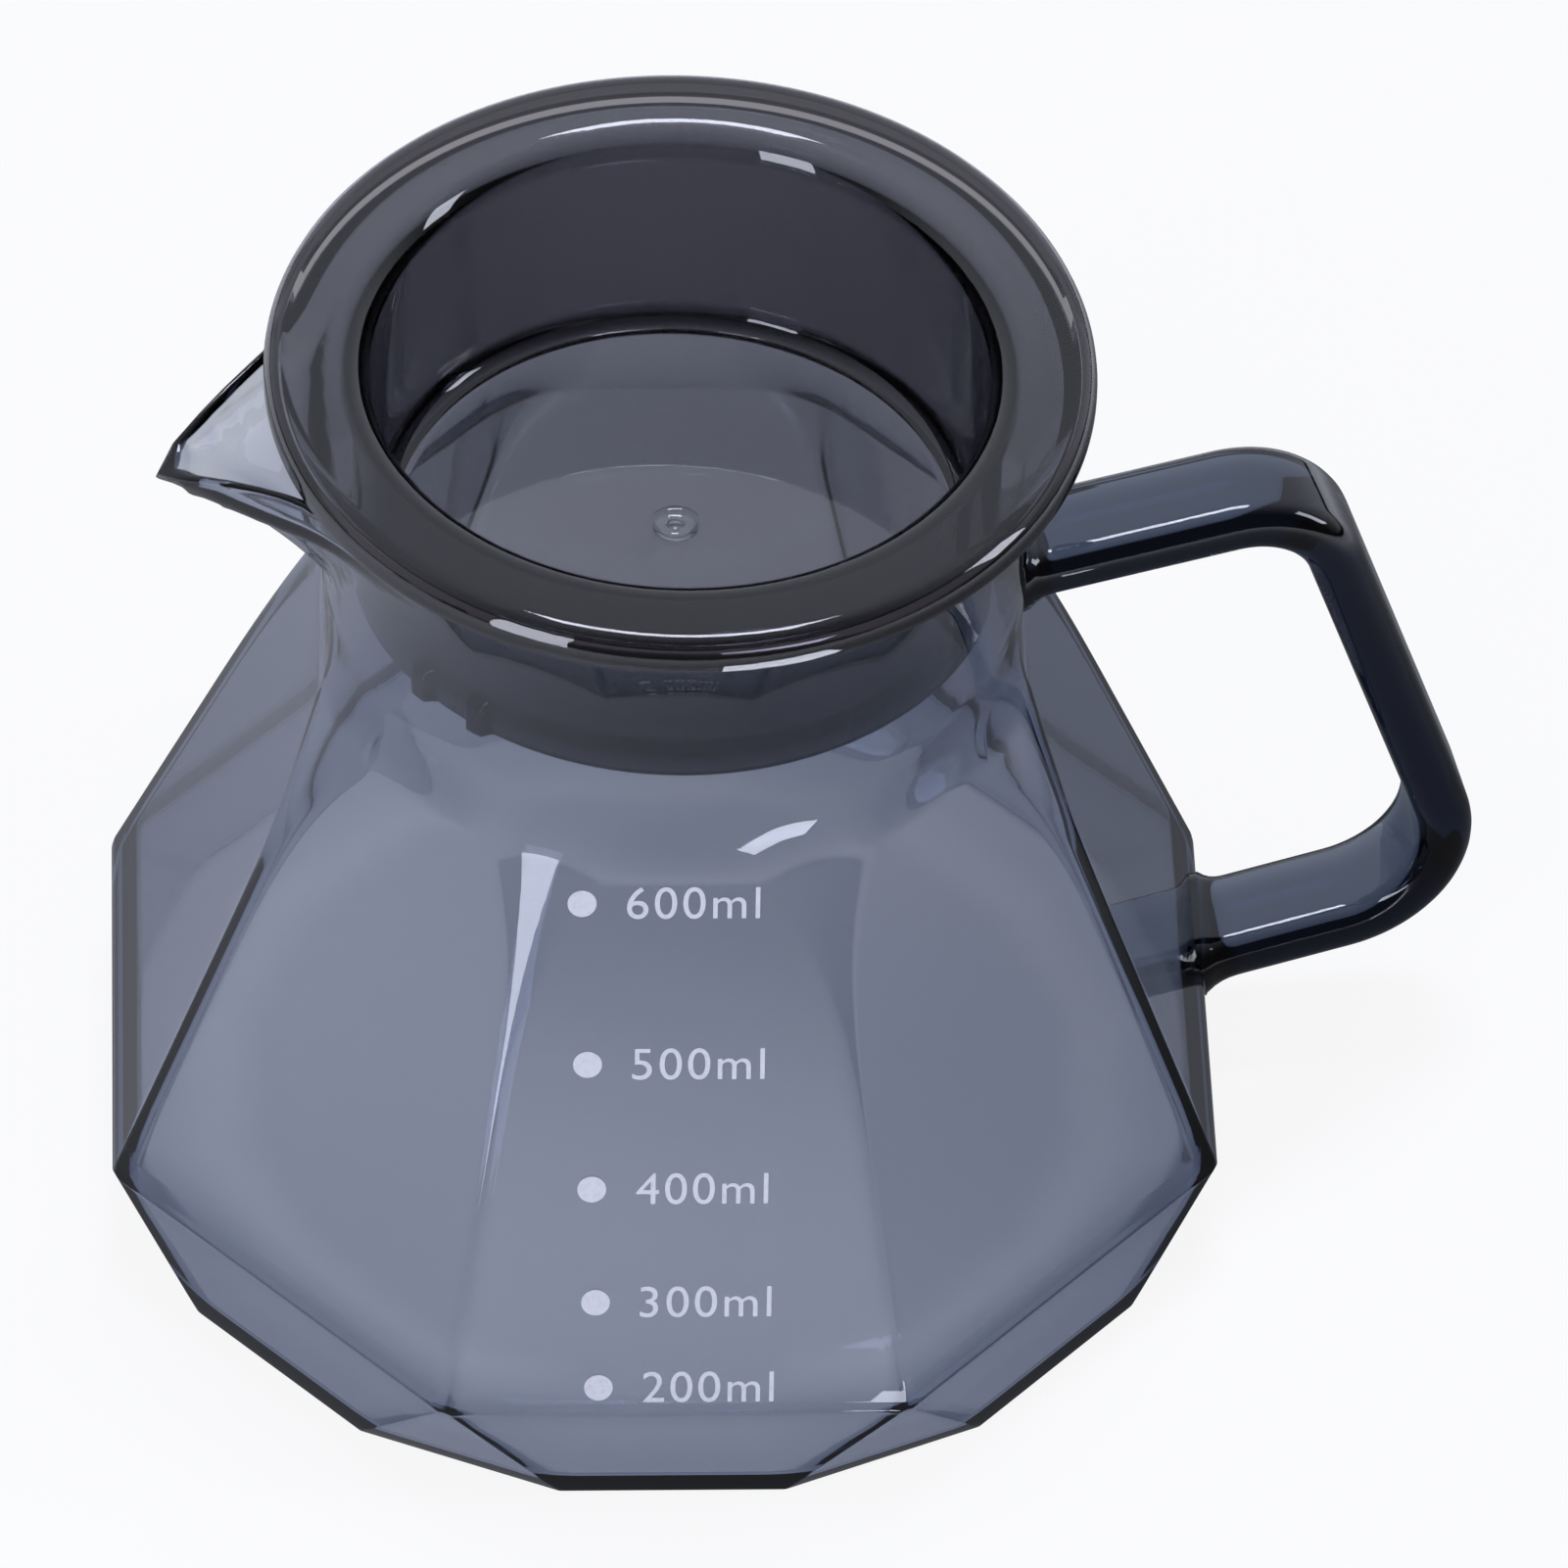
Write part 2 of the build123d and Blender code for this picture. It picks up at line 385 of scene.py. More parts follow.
# Finishes

@dataclass(frozen=True)
class ClearFinish:
    """A see-through tinted material that soaks up light along its depth."""

    name: str
    tint: str
    tint_depth: float
    ior: float
    roughness: float
    ripple: float
    ripple_height: float
    smear: float
    smear_depth: float = 0.6
    smear_layers: float = 4.0
    ripple_layers: float = 1.5
    density_margin: float = 1.1

    def material(self) -> bpy.types.Material:
        """Builds the node material.

        Returns:
            A material whose surface is clear and whose depth carries the tint.
        """
        material = bpy.data.materials.new(self.name)
        tree = empty_tree(material)
        polish = add_node(tree, "ShaderNodeMapRange", {
            "To Min": self.roughness * (1 - self.smear_depth),
            "To Max": self.roughness * (1 + self.smear_depth),
            "Value": noise(tree, self.smear, self.smear_layers)})
        wave = relief(tree, 1.0, self.ripple_height, noise(tree, self.ripple, self.ripple_layers))
        surface = add_node(tree, "ShaderNodeBsdfPrincipled", {
            "Base Color": (1, 1, 1, 1), "Transmission Weight": 1.0, "IOR": self.ior,
            "Roughness": polish, "Normal": wave})
        depth = add_node(tree, "ShaderNodeVolumeAbsorption", self.absorption())
        add_node(tree, "ShaderNodeOutputMaterial", {"Surface": surface, "Volume": depth})
        return material

    def absorption(self) -> dict:
        """The colour and density that give the tint after light has gone the tint's depth.

        Returns:
            Settings for the absorption node.
        """
        rates = [-math.log(value) / (self.tint_depth * MM) for value in linear(self.tint)[:3]]
        density = max(rates) * self.density_margin
        return {"Color": tuple(1 - rate / density for rate in rates) + (1.0,), "Density": density}


@dataclass(frozen=True)
class EnamelFinish:
    """White enamel, screen printed and fired on the glass."""

    name: str
    colour: str
    thin_colour: str
    roughness: float
    grain: float
    grain_layers: float = 3.0
    grain_strength: float = 0.3
    grain_height: float = 0.02
    thin_level: float = 0.3
    full_level: float = 0.55
    ior: float = 1.5

    def material(self) -> bpy.types.Material:
        """Builds the node material.

        Returns:
            An opaque satin material that is a little thinner in places.
        """
        material = bpy.data.materials.new(self.name)
        tree = empty_tree(material)
        grain = noise(tree, self.grain, self.grain_layers)
        cover = add_node(tree, "ShaderNodeValToRGB", {"Fac": grain})
        stops = cover.color_ramp.elements
        stops[0].position, stops[0].color = self.thin_level, linear(self.thin_colour)
        stops[1].position, stops[1].color = self.full_level, linear(self.colour)
        surface = add_node(tree, "ShaderNodeBsdfPrincipled", {
            "Roughness": self.roughness, "IOR": self.ior, "Base Color": cover,
            "Normal": relief(tree, self.grain_strength, self.grain_height, grain)})
        add_node(tree, "ShaderNodeOutputMaterial", {"Surface": surface})
        return material


# Borosilicate glass, coloured smoke grey in the melt, blown in a mould and fire polished.
# The polish gives clean highlights, and the mould leaves a slow ripple that bends what shows through.
SMOKE_GLASS = ClearFinish("smoke_borosilicate_glass_mould_blown", tint="9299ab", tint_depth=2.75, ior=1.474,
                          roughness=0.004, ripple=22.0, ripple_height=0.04, smear=9.0)

# The same glass, pressed as a bar and fused on while hot, so it is a little wavier and less flat.
HANDLE_GLASS = ClearFinish("smoke_borosilicate_glass_pressed", tint="9da5b3", tint_depth=2.75, ior=1.474,
                           roughness=0.006, ripple=12.0, ripple_height=0.05, smear=6.0)

# Clear styrene resin with a smoke dye, injection moulded: even walls, a soft gloss and a faint haze.
LID_RESIN = ClearFinish("smoke_styrene_resin_injection_moulded", tint="828086", tint_depth=1.8, ior=1.52,
                        roughness=0.02, ripple=26.0, ripple_height=0.03, smear=4.0)

# White glass enamel, screen printed and fired: opaque, satin, and a little thin where the screen lifted.
PRINT_ENAMEL = EnamelFinish("white_enamel_screen_printed", colour="bcbdc4", thin_colour="b2b3bb",
                            roughness=0.42, grain=0.5)


# The vessel

@dataclass
class Vessel:
    """The faceted glass body with its neck and spout, in millimetres."""

    facet_count: int = 8
    facet_turn: float = -10.5
    belt_radius: float = 65.84
    belt_height: float = 14.1
    belt_softness: float = 0.4
    inner_belt_softness: float = 2.4
    seam_height: float = 0.1
    seam_width: float = 0.28
    seam_drop: float = 0.55
    base_radius: float = 61.6
    base_rounding: float = 0.8
    edge_rounding: float = 0.9
    edge_opening_height: float = 42.0
    edge_opening_power: float = 3.2
    fold_start: float = 73.0
    shoulder_height: float = 76.0
    shoulder_flat_radius: float = 37.4
    shoulder_rounding: float = 22.0
    throat_radius: float = 38.0
    throat_height: float = 84.0
    rim_radius: float = 43.0
    rim_height: float = 110.95
    wall: float = 1.9
    floor_thickness: float = 1.3
    inner_rounding: float = 3.6
    foot_rounding: float = 16.0
    floor_fillet: float = 1.3
    punt: float = 0.7
    spout_azimuth: float = 178.6
    spout_keel: tuple[tuple[float, float], ...] = (
        (88.5, 38.1), (93.2, 41.2), (98.2, 45.4), (101.9, 49.9), (104.0, 53.4), (105.2, 56.2), (107.0, 56.9))
    spout_side_angle: float = 39.0
    spout_tip_rounding: float = 1.5
    spout_keel_rounding: float = 4.2
    spout_drop: float = 4.4
    spout_sector: float = 60.0
    spout_sharpening: tuple[float, float] = (96.0, 105.0)
    spout_lip_thinning: float = 0.2
    spout_inner_rise: float = 0.8
    spout_inner_reach: float = 0.95
    spout_inner_tip: float = 0.45
    spout_root_blend: float = 3.0
    neck_blend: float = 0.4
    rim_fall_power: float = 1.8
    base_bow_power: int = 6
    flat_steps: int = 14
    arc_steps: int = 4
    gather_heights: tuple[float, float] = (76.0, 91.0)
    column_gather: float = 0.8
    first_row: float = 2.0
    row_gap: float = 0.5
    wall_steps: tuple[int, ...] = (4, 22, 8, 12)
    fold_steps: int = 16
    neck_steps: int = 40
    neck_row_power: float = 1.4
    rim_steps: int = 10
    base_edge_steps: int = 6
    fillet_steps: int = 8
    under_shares: tuple[float, ...] = (0.1, 0.4, 0.7, 0.8, 0.84, 0.88, 0.92, 0.96, 0.985)
    under_punt_edge: tuple[float, float] = (0.78, 0.94)
    floor_shares: tuple[float, ...] = (1.0, 0.95, 0.9, 0.84, 0.75, 0.5, 0.2)
    floor_punt_edge: tuple[float, float] = (0.72, 0.96)
    normal_weight: int = 80

    def __post_init__(self) -> None:
        """Works out the angles, the stretches and the column order."""
        self.half = math.pi / self.facet_count
        self.belt_flat = self.belt_radius * math.cos(self.half)
        self.base_flat = self.base_radius * math.cos(self.half / 2)
        self.lean = math.atan2(self.belt_flat - self.shoulder_flat_radius,
                               self.shoulder_height - self.belt_height)
        self.stations = [(Stretch.FLAT, 0.5 - 0.5 * math.cos(math.pi * share))
                         for share in spread(0, 1, self.flat_steps)]
        for stretch in (Stretch.NEAR_ARC, Stretch.CORNER, Stretch.FAR_ARC):
            self.stations += [(stretch, share) for share in spread(0, 1, self.arc_steps)]

    def flat_radius(self, z: float, inset: float = 0.0) -> float:
        """Distance from the axis to a facet, with the mould seam under the outer belt.

        Args:
            z: The height.
            inset: How far inside the surface lies. Past the wall, the belt is softer and has no seam.

        Returns:
            The distance, before the inset is taken off.
        """
        foot = self.base_flat + (self.belt_flat - self.base_flat) * z / self.belt_height
        body = self.belt_flat - (z - self.belt_height) * math.tan(self.lean)
        if inset > self.wall:
            return smooth_min(foot, body, self.inner_belt_softness)
        away = (z - self.belt_height + self.seam_drop) / self.seam_width
        return smooth_min(foot, body, self.belt_softness) + self.seam_height * math.exp(-away * away)

    def rounding(self, z: float, edge: float) -> float:
        """Radius of the edges between facets, which open out toward the shoulder.

        Args:
            z: The height.
            edge: The radius low down.

        Returns:
            The radius there.
        """
        run = self.shoulder_height - self.edge_opening_height
        share = min(1.0, max(0.0, (z - self.edge_opening_height) / run))
        return edge + (self.shoulder_rounding - edge) * share ** self.edge_opening_power

    def inner_edge(self, z: float) -> float:
        """Radius of the inside's edges between facets, which open out again toward the floor."""
        share = max(0.0, 1 - z / self.belt_height)
        return self.inner_rounding + (self.foot_rounding - self.inner_rounding) * share

    def body_row(self, z: float, inset: float, edge: float) -> Row:
        """The outline of the faceted body at one height.

        Args:
            z: The height.
            inset: How far the outline lies inside the body's outside.
            edge: The rounding of the edges between facets.

        Returns:
            The points of the outline, anticlockwise seen from above.
        """
        rounding = self.rounding(z, edge)
        flat = self.flat_radius(z, inset) - inset - rounding
        foot_share = min(1.0, z / self.belt_height)
        corner = self.base_flat + (self.belt_radius - self.base_flat) * foot_share - inset - rounding
        near_y = min(flat * math.tan(self.half),
                     (corner - flat * math.cos(self.half)) / math.sin(self.half))
        near = Vector((flat, near_y))
        far = Vector((math.cos(2 * self.half) * flat + math.sin(2 * self.half) * near_y,
                      math.sin(2 * self.half) * flat - math.cos(2 * self.half) * near_y))
        bow = self.half / 3 * foot_share ** self.base_bow_power
        row = []
        for side in range(self.facet_count):
            turn = math.radians(self.facet_turn) + 2 * self.half * side
            for stretch, share in self.stations:
                centre, angle = near, 0.0
                if stretch is Stretch.FLAT:
                    centre = Vector((flat, near_y * (2 * share - 1)))
                elif stretch is Stretch.NEAR_ARC:
                    angle = (self.half - bow) * share
                elif stretch is Stretch.CORNER:
                    centre, angle = near.lerp(far, share), self.half + bow * (2 * share - 1)
                else:
                    centre, angle = far, self.half + bow + (self.half - bow) * share
                place = centre + Vector((math.cos(angle), math.sin(angle))) * rounding
                place.rotate(Matrix.Rotation(turn, 2))
                row.append((place.x, place.y, z))
        return row

    def body_radius(self, azimuth: float, z: float, inset: float, edge: float) -> float:
        """Distance from the axis to the faceted body above the belt.

        Args:
            azimuth: The azimuth in radians.
            z: The height.
            inset: How far the surface lies inside the body's outside.
            edge: The rounding of the facet edges.

        Returns:
            The radius there.
        """
        offset = (azimuth - math.radians(self.facet_turn)) % (2 * self.half)
        offset = min(offset, 2 * self.half - offset)
        rounding = self.rounding(z, edge)
        flat = self.flat_radius(z) - inset
        if flat * math.tan(offset) <= (flat - rounding) * math.tan(self.half):
            return flat / math.cos(offset)
        centre = (flat - rounding) / math.cos(self.half)
        away = self.half - offset
        return centre * math.cos(away) + math.sqrt(rounding ** 2 - (centre * math.sin(away)) ** 2)

    def neck_radius(self, z: float) -> float:
        """Outside radius of the flaring neck.

        Args:
            z: The height.

        Returns:
            The radius there, which is the throat's below it.
        """
        rise = self.rim_height - self.throat_height
        flare = self.rim_radius - self.throat_radius
        bend = (rise ** 2 + flare ** 2) / (2 * flare)
        return self.throat_radius + bend - math.sqrt(bend ** 2 - max(0.0, z - self.throat_height) ** 2)

    def spout_radius(self, azimuth: float, z: float, inset: float) -> float:
        """Distance from the axis to the spout's outside, or to its inside for an inset.

        Args:
            azimuth: The azimuth in radians.
            z: The height.
            inset: The wall's thickness for the inside, 0 for the outside.

        Returns:
            The radius there, or 0 where the spout is behind.
        """
        away = abs((azimuth - math.radians(self.spout_azimuth) + math.pi) % (2 * math.pi) - math.pi)
        if away > math.radians(self.spout_sector):
            return 0.0
        side = math.radians(self.spout_side_angle)
        high = smooth_step(*self.spout_sharpening, z)
        inset *= 1 - self.spout_lip_thinning * high
        tip = self.spout_keel_rounding + (self.spout_tip_rounding - self.spout_keel_rounding) * high
        reach = curve_through(self.spout_keel, z - self.spout_inner_rise * inset)
        reach -= self.spout_inner_reach * inset
        inner_tip = tip - self.spout_inner_tip * inset
        centre = reach - inner_tip
        touch = math.atan2(inner_tip * math.cos(side), centre + inner_tip * math.sin(side))
        if away < touch:
            return centre * math.cos(away) + math.sqrt(inner_tip ** 2 - (centre * math.sin(away)) ** 2)
        return (centre * math.sin(side) + inner_tip) / math.sin(away + side)

    def upper_radius(self, azimuth: float, z: float, inset: float, edge: float) -> float:
        """Distance from the axis to the shoulder, neck or spout.

        Args:
            azimuth: The azimuth in radians.
            z: The height, from the fold's start up.
            inset: The wall's thickness for the inside, 0 for the outside.
            edge: The rounding of the facet edges.

        Returns:
            The radius there.
        """
        if z < self.throat_height:
            run = self.throat_height - self.fold_start
            step = 0.25
            across = inset / math.cos(self.lean)
            start = self.body_radius(azimuth, self.fold_start, across, edge)
            slope = (start - self.body_radius(azimuth, self.fold_start - step, across, edge)) / step
            share = (z - self.fold_start) / run
            return hermite(share, start, slope * run, self.throat_radius - inset, 0.0)
        neck = self.neck_radius(z) - inset
        blend = self.spout_root_blend * smooth_step(self.spout_keel[0][0], self.spout_keel[2][0], z)
        return smooth_max(neck, self.spout_radius(azimuth, z, inset), blend + self.neck_blend)

    def azimuths(self, z: float) -> list[float]:
        """Azimuths of the columns, which gather round the spout above the shoulder.

        Args:
            z: The height.

        Returns:
            The azimuths in radians, in rising order.
        """
        body = [math.atan2(y, x) for x, y, _ in self.body_row(self.fold_start, 0, self.edge_rounding)]
        slide = smooth_step(*self.gather_heights, z)
        spout = math.radians(self.spout_azimuth)
        result = []
        last = body[0]
        for index, azimuth in enumerate(body):
            while azimuth < last - 1e-9:
                azimuth += 2 * math.pi
            last = azimuth
            even = body[0] + 2 * math.pi * index / len(body)
            gathered = even + self.column_gather * math.sin(even - spout)
            result.append(azimuth + (gathered - azimuth) * slide)
        return result

    def rim_at(self, azimuth: float) -> float:
        """Height of the rim, which falls toward the tip of the spout.

        Args:
            azimuth: The azimuth in radians.

        Returns:
            The height there.
        """
        reach = self.upper_radius(azimuth, self.rim_height - 1, 0, self.edge_rounding) - self.rim_radius
        full = self.spout_keel[-1][1] - self.rim_radius
        share = min(1.0, max(0.0, reach / full))
        return self.rim_height - self.spout_drop * share ** self.rim_fall_power

    def upper_row(self, share: float, inset: float, edge: float) -> Row:
        """A row between the throat and the rim.

        Args:
            share: 0 at the throat and 1 just under the rounded rim.
            inset: The wall's thickness for the inside, 0 for the outside.
            edge: The rounding of the facet edges.

        Returns:
            The row's points.
        """
        row = []
        level = self.throat_height + share * (self.rim_height - self.throat_height)
        for azimuth in self.azimuths(level):
            top = self.rim_at(azimuth) - self.wall / 2
            z = self.throat_height + (top - self.throat_height) * share
            row.append(polar(self.upper_radius(azimuth, z, inset, edge), azimuth, z))
        return row

    def fold_row(self, z: float, inset: float, edge: float) -> Row:
        """A row between the facets and the throat."""
        return [polar(self.upper_radius(azimuth, z, inset, edge), azimuth, z)
                for azimuth in self.azimuths(z)]

    def rim_row(self, outer: Row, inner: Row, angle: float) -> Row:
        """A row of the fire-polished rim, part of the way over from the outside to the inside.

        Args:
            outer: The outside's last row.
            inner: The inside's last row.
            angle: 0 at the outside and pi at the inside.

        Returns:
            The row's points.
        """
        row = []
        for out, into in zip(outer, inner):
            middle = (Vector(out) + Vector(into)) / 2
            half = (Vector(out) - Vector(into)) / 2
            place = middle + half * math.cos(angle) + Vector((0, 0, self.wall / 2 * math.sin(angle)))
            row.append(tuple(place))
        return row

    def wall_rows(self, inset: float, edge: float, from_height: float) -> list[Row]:
        """The rows of one side of the wall, from a height up to just under the rim.

        Args:
            inset: The wall's thickness for the inside, 0 for the outside.
            edge: The rounding of the facet edges.
            from_height: The height that the rows start above.

        Returns:
            The rows, from the lowest up.
        """
        across = inset / math.cos(self.lean)
        soft = self.belt_softness
        levels = (self.first_row, self.belt_height - 4 * soft, self.belt_height + 2 * soft,
                  self.edge_opening_height, self.fold_start)
        heights = [z for low, high, steps in zip(levels, levels[1:], self.wall_steps)
                   for z in spread(low, high, steps) if z > from_height + self.row_gap]
        rows = [self.body_row(z, across, self.inner_edge(z) if inset else edge) for z in heights]
        rows += [self.fold_row(z, inset, edge)
                 for z in spread(self.fold_start, self.throat_height, self.fold_steps)]
        shares = [1 - (1 - share) ** self.neck_row_power for share in spread(0, 1, self.neck_steps)]
        return rows + [self.upper_row(share, inset, edge) for share in shares + [1.0]]

    def outer_foot(self) -> list[Row]:
        """The rows of the underside and of the rounded base edge.

        Returns:
            The rows, from the middle outward and up.
        """
        edge = self.edge_rounding
        base = self.body_row(0, self.base_rounding, edge)
        rows = []
        for share in self.under_shares:
            lift = self.punt * (1 - smooth_step(*self.under_punt_edge, share))
            rows.append([(x * share, y * share, lift) for x, y, _ in base])
        for angle in spread(0, math.pi / 2, self.base_edge_steps):
            inset = self.base_rounding * (1 - math.sin(angle))
            z = self.base_rounding * (1 - math.cos(angle))
            rows.append([(x, y, z) for x, y, _ in self.body_row(z, inset, edge)])
        return rows

    def inner_floor(self) -> list[Row]:
        """The rows of the inside's floor.

        Returns:
            The rows, from the wall to the middle.
        """
        across = self.wall / math.cos(self.lean)
        fillet = self.floor_fillet
        rows = []
        for angle in spread(0, math.pi / 2, self.fillet_steps):
            z = self.floor_thickness + fillet * (1 - math.sin(angle))
            inset = across + fillet * (1 - math.cos(angle))
            rows.append(self.body_row(z, inset, self.inner_edge(z)))
        floor = self.body_row(self.floor_thickness, across + fillet, self.inner_edge(self.floor_thickness))
        for share in self.floor_shares:
            lift = self.punt * (1 - smooth_step(*self.floor_punt_edge, share))
            rows.append([(x * share, y * share, self.floor_thickness + lift) for x, y, _ in floor])
        return rows

    def build(self) -> Piece:
        """Makes the vessel's glass and puts it in place of its node.

        Returns:
            The vessel's object.
        """
        outer = self.wall_rows(0, self.edge_rounding, 0)
        inner = self.wall_rows(self.wall, self.inner_rounding, self.floor_thickness + self.floor_fillet)
        angles = spread(0, math.pi, self.rim_steps)[1:]
        rim = [self.rim_row(outer[-1], inner[-1], angle) for angle in angles]
        rows = self.outer_foot() + outer + rim + inner[::-1] + self.inner_floor()
        piece = skin("vessel_glass", rows, (0, 0, self.punt), (0, 0, self.floor_thickness + self.punt))
        weighted = piece.modifiers.new("flat_facets", "WEIGHTED_NORMAL")
        weighted.weight = self.normal_weight
        piece.data.materials.append(SMOKE_GLASS.material())
        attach(piece, Body.JUG.value)
        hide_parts("vessel")
        return piece


# The handle

@dataclass
class Handle:
    """The bar of the handle with its two fused feet, in millimetres."""

    width: float = 12.5
    thickness: float = 6.2
    edge_radius: float = 2.7
    upper_foot: tuple[float, float] = (38.0, 78.0)
    upper_rise: float = 7.8
    upper_reach: float = 32.3
    upper_bend: float = 11.0
    lower_foot: tuple[float, float] = (62.02, 12.7)
    lower_rise: float = 10.0
    lower_reach: float = 30.6
    lower_bend: float = 13.0
    flare: float = 1.9
    flare_length: float = 4.2
    flare_power: float = 3.0
    fit_length: float = 7.0
    foot_gap: float = 0.03
    foot_span: float = 2.5
    cap_inset: float = 1.2
    cap_rings: int = 3
    merge_distance: float = 0.01
    step: float = 0.7
    bend_points: int = 22
    edge_points: int = 7
    sharp_angle: float = 40.0

    def arm(self, foot: tuple[float, float], rise: float, reach: float) -> tuple[Vector, Vector, Vector]:
        """One arm of the handle.

        Args:
            foot: The foot's distance from the axis and its height.
            rise: The arm's rise in degrees.
            reach: How far out the arm's corner is.

        Returns:
            The foot's point, the corner's point and the direction away from the vessel, in metres.
        """
        start = Vector((foot[0], 0, foot[1])) * MM
        along = Vector((math.cos(math.radians(rise)), 0, math.sin(math.radians(rise))))
        return start, start + along * (reach / along.x * MM), along

    def bar_tree(self) -> Tree:
        """The geometry tree that sweeps the bar's section along its bent path.

        Returns:
            A tree whose seed is the path's four corners.
        """
        tree, given = geometry_tree("handle_bar", {size: "NodeSocketFloat" for size in (
            "Width", "Thickness", "Edge Radius", "Upper Bend", "Lower Bend", "Flare", "Flare Length")})
        path = add_node(tree, "GeometryNodeMeshToCurve", {"Mesh": given["Geometry"]})
        index = add_node(tree, "GeometryNodeInputIndex").outputs["Index"]
        upper = reckon(tree, "LESS_THAN", index, 1.5)
        bend = between(tree, upper, given["Lower Bend"], given["Upper Bend"])
        bent = add_node(tree, "GeometryNodeFilletCurve", {
            "mode": "POLY", "Count": self.bend_points, "Curve": path, "Radius": bend})
        even = add_node(tree, "GeometryNodeResampleCurve", {
            "mode": "LENGTH", "Length": self.step * MM, "Curve": bent})
        upright = add_node(tree, "GeometryNodeSetCurveNormal", {"mode": "MINIMUM_TWIST", "Curve": even})
        here = add_node(tree, "GeometryNodeSplineParameter").outputs["Length"]
        whole = add_node(tree, "GeometryNodeSplineLength").outputs["Length"]
        kept = add_node(tree, "GeometryNodeCaptureAttribute", {"domain": "POINT", "Geometry": upright})
        kept.capture_items.new("FLOAT", "to_foot")
        to_foot = reckon(tree, "MINIMUM", here, reckon(tree, "SUBTRACT", whole, here))
        tree.links.new(to_foot, kept.inputs["to_foot"])
        square = add_node(tree, "GeometryNodeCurvePrimitiveQuadrilateral", {
            "mode": "RECTANGLE", "Width": given["Width"], "Height": given["Thickness"]})
        section = add_node(tree, "GeometryNodeFilletCurve", {
            "mode": "POLY", "Count": self.edge_points, "Curve": square, "Radius": given["Edge Radius"]})
        dense = add_node(tree, "GeometryNodeSubdivideCurve", {"Cuts": 1, "Curve": section})
        bar = add_node(tree, "GeometryNodeCurveToMesh", {
            "Fill Caps": True, "Curve": kept, "Profile Curve": dense})
        share = add_node(tree, "ShaderNodeMapRange", {
            "From Min": 0.0, "To Min": 1.0, "To Max": 0.0, "Value": kept.outputs["to_foot"],
            "From Max": given["Flare Length"]})
        swell = reckon(tree, "POWER", share, self.flare_power)
        outward = add_node(tree, "ShaderNodeVectorMath", {
            "operation": "SCALE", "Vector": add_node(tree, "GeometryNodeInputNormal"),
            "Scale": reckon(tree, "MULTIPLY", swell, given["Flare"])})
        flared = add_node(tree, "GeometryNodeSetPosition", {"Geometry": bar, "Offset": outward})
        end_tree(tree, given, flared)
        return tree

    def fit_foot(self, mesh: bmesh.types.BMesh, wall: BVHTree, foot: Vector, along: Vector) -> None:
        """Presses one end of the bar against the vessel.

        Args:
            mesh: The bar.
            wall: The vessel's surface.
            foot: The foot's point.
            along: The direction away from the vessel.
        """
        reach = self.fit_length * MM
        for vertex in mesh.verts:
            distance = (vertex.co - foot).dot(along)
            if not -MM < distance < reach or (vertex.co - foot).length > self.foot_span * reach:
                continue
            start = vertex.co + along * (reach - distance)
            hit = wall.ray_cast(start, -along)[3]
            if hit is not None:
                move = (hit - reach - self.foot_gap * MM) * (1 - max(0.0, distance) / reach)
                vertex.co -= along * move

    def build(self, vessel: Piece) -> Piece:
        """Makes the handle and puts it in place of its node.

        Args:
            vessel: The glass that the feet are pressed on.

        Returns:
            The handle's object.
        """
        upper = self.arm(self.upper_foot, self.upper_rise, self.upper_reach)
        lower = self.arm(self.lower_foot, self.lower_rise, self.lower_reach)
        seed = bpy.data.meshes.new("handle_path")
        seed.from_pydata([upper[0], upper[1], lower[1], lower[0]], [(0, 1), (1, 2), (2, 3)], [])
        piece = grow("handle_glass", seed, self.bar_tree(), {
            "Width": self.width * MM, "Thickness": self.thickness * MM,
            "Edge Radius": self.edge_radius * MM, "Upper Bend": self.upper_bend * MM,
            "Lower Bend": self.lower_bend * MM, "Flare": self.flare * MM,
            "Flare Length": self.flare_length * MM, "Finish": HANDLE_GLASS.material()})
        bar = bmesh.new()
        bar.from_mesh(piece.data)
        bmesh.ops.remove_doubles(bar, verts=bar.verts, dist=self.merge_distance * MM)
        for cap in [face for face in bar.faces if len(face.verts) > 4]:
            for _ in range(self.cap_rings):
                bmesh.ops.inset_individual(bar, faces=[cap], thickness=self.cap_inset * MM)
            bmesh.ops.poke(bar, faces=[cap])
        bmesh.ops.recalc_face_normals(bar, faces=bar.faces)
        wall = BVHTree.FromPolygons([v.co for v in vessel.data.vertices],
                                    [tuple(p.vertices) for p in vessel.data.polygons])
        for foot, _, along in (upper, lower):
            self.fit_foot(bar, wall, foot, along)
        bar.to_mesh(piece.data)
        bar.free()
        shade_smooth(piece.data)
        piece.data.set_sharp_from_angle(angle=math.radians(self.sharp_angle))
        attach(piece, Body.JUG.value)
        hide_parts("handle")
        return piece


# The lid

